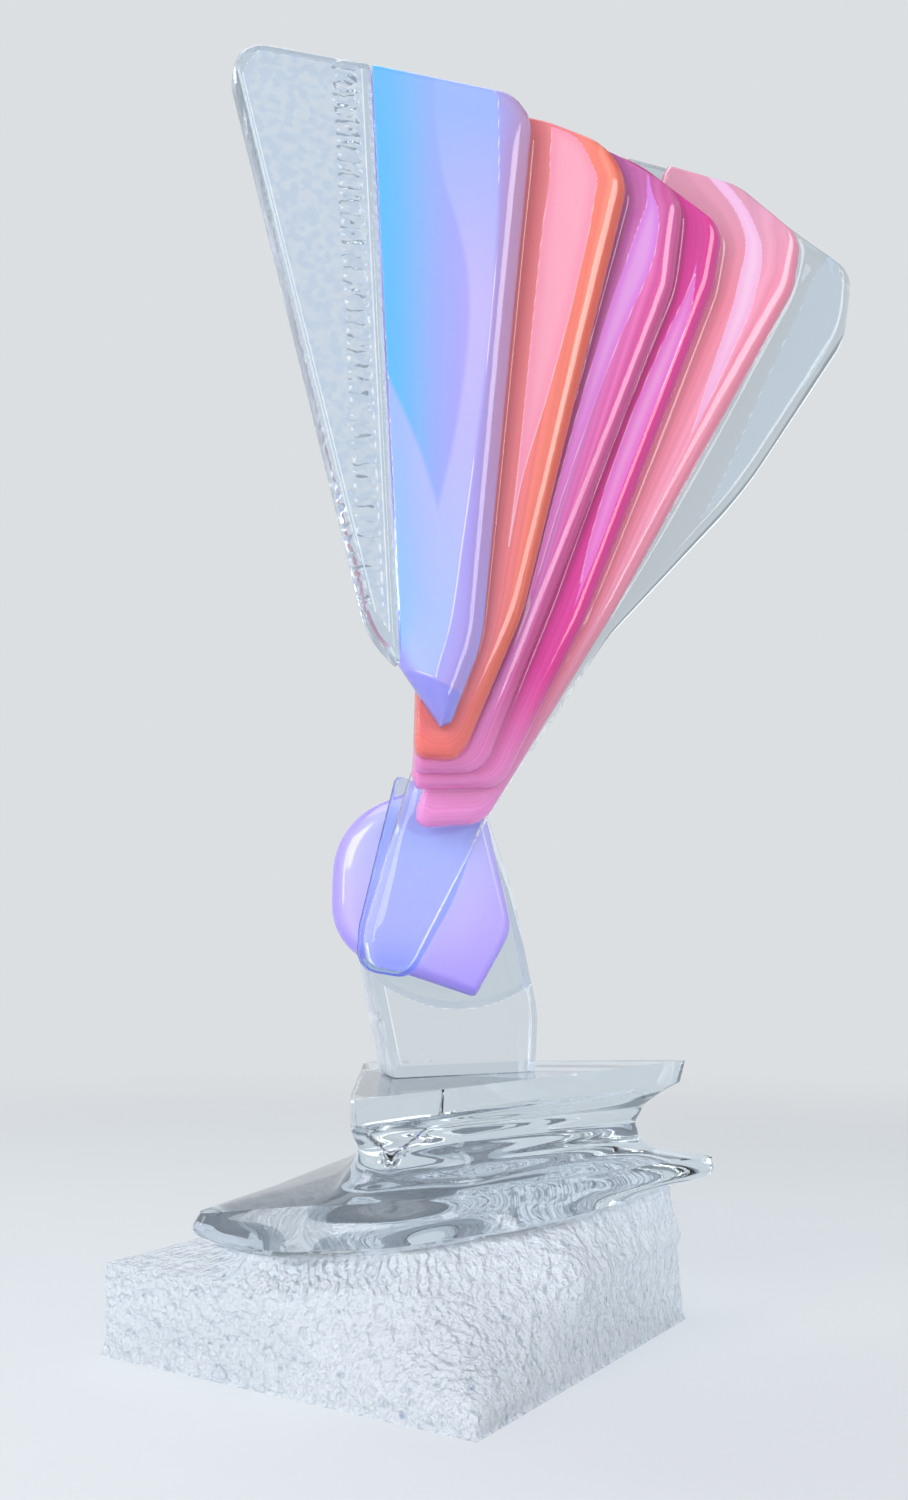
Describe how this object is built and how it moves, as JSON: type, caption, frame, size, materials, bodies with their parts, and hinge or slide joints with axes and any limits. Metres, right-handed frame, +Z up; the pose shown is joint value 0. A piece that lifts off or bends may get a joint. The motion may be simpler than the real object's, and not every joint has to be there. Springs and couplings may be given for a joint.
{
  "type": "acrylic sculpture",
  "caption": "Free-standing tabletop sculpture: a fan of stepped translucent coloured acrylic blades cemented face to face, rising from a clear carved block.",
  "frame": {"origin": "middle of the block's flat underside, where its two diagonals cross", "axes": "+Z up, -Y the way the blades' broad front faces look, +X the way the fan leans and the block's long beak points"},
  "size_m": [0.3563, 0.2672, 0.5636],
  "materials": {
    "carved_clear_acrylic": "clear cast acrylic, flame-polished grooves above, chipped and frosted below",
    "clear_acrylic": "clear cast acrylic, polished",
    "lavender_acrylic": "translucent lavender acrylic, polished",
    "pale_blue_acrylic": "translucent pale blue acrylic, polished",
    "pink_acrylic": "translucent pink acrylic, polished",
    "magenta_acrylic": "translucent magenta acrylic, polished",
    "rose_acrylic": "translucent orchid-rose acrylic, polished",
    "coral_acrylic": "translucent coral acrylic, polished",
    "blue_acrylic": "translucent sky-blue acrylic fading to lavender, polished"
  },
  "bodies": {
    "root": {"base_block": "carved_clear_acrylic", "clear_post": "clear_acrylic", "lavender_disc": "lavender_acrylic", "blue_tongue": "pale_blue_acrylic", "clear_rear_blade": "clear_acrylic", "pink_blade": "pink_acrylic", "magenta_blade": "magenta_acrylic", "rose_blade": "rose_acrylic", "coral_blade": "coral_acrylic", "blue_blade": "blue_acrylic", "clear_left_wing": "clear_acrylic"}
  },
  "joints": []
}
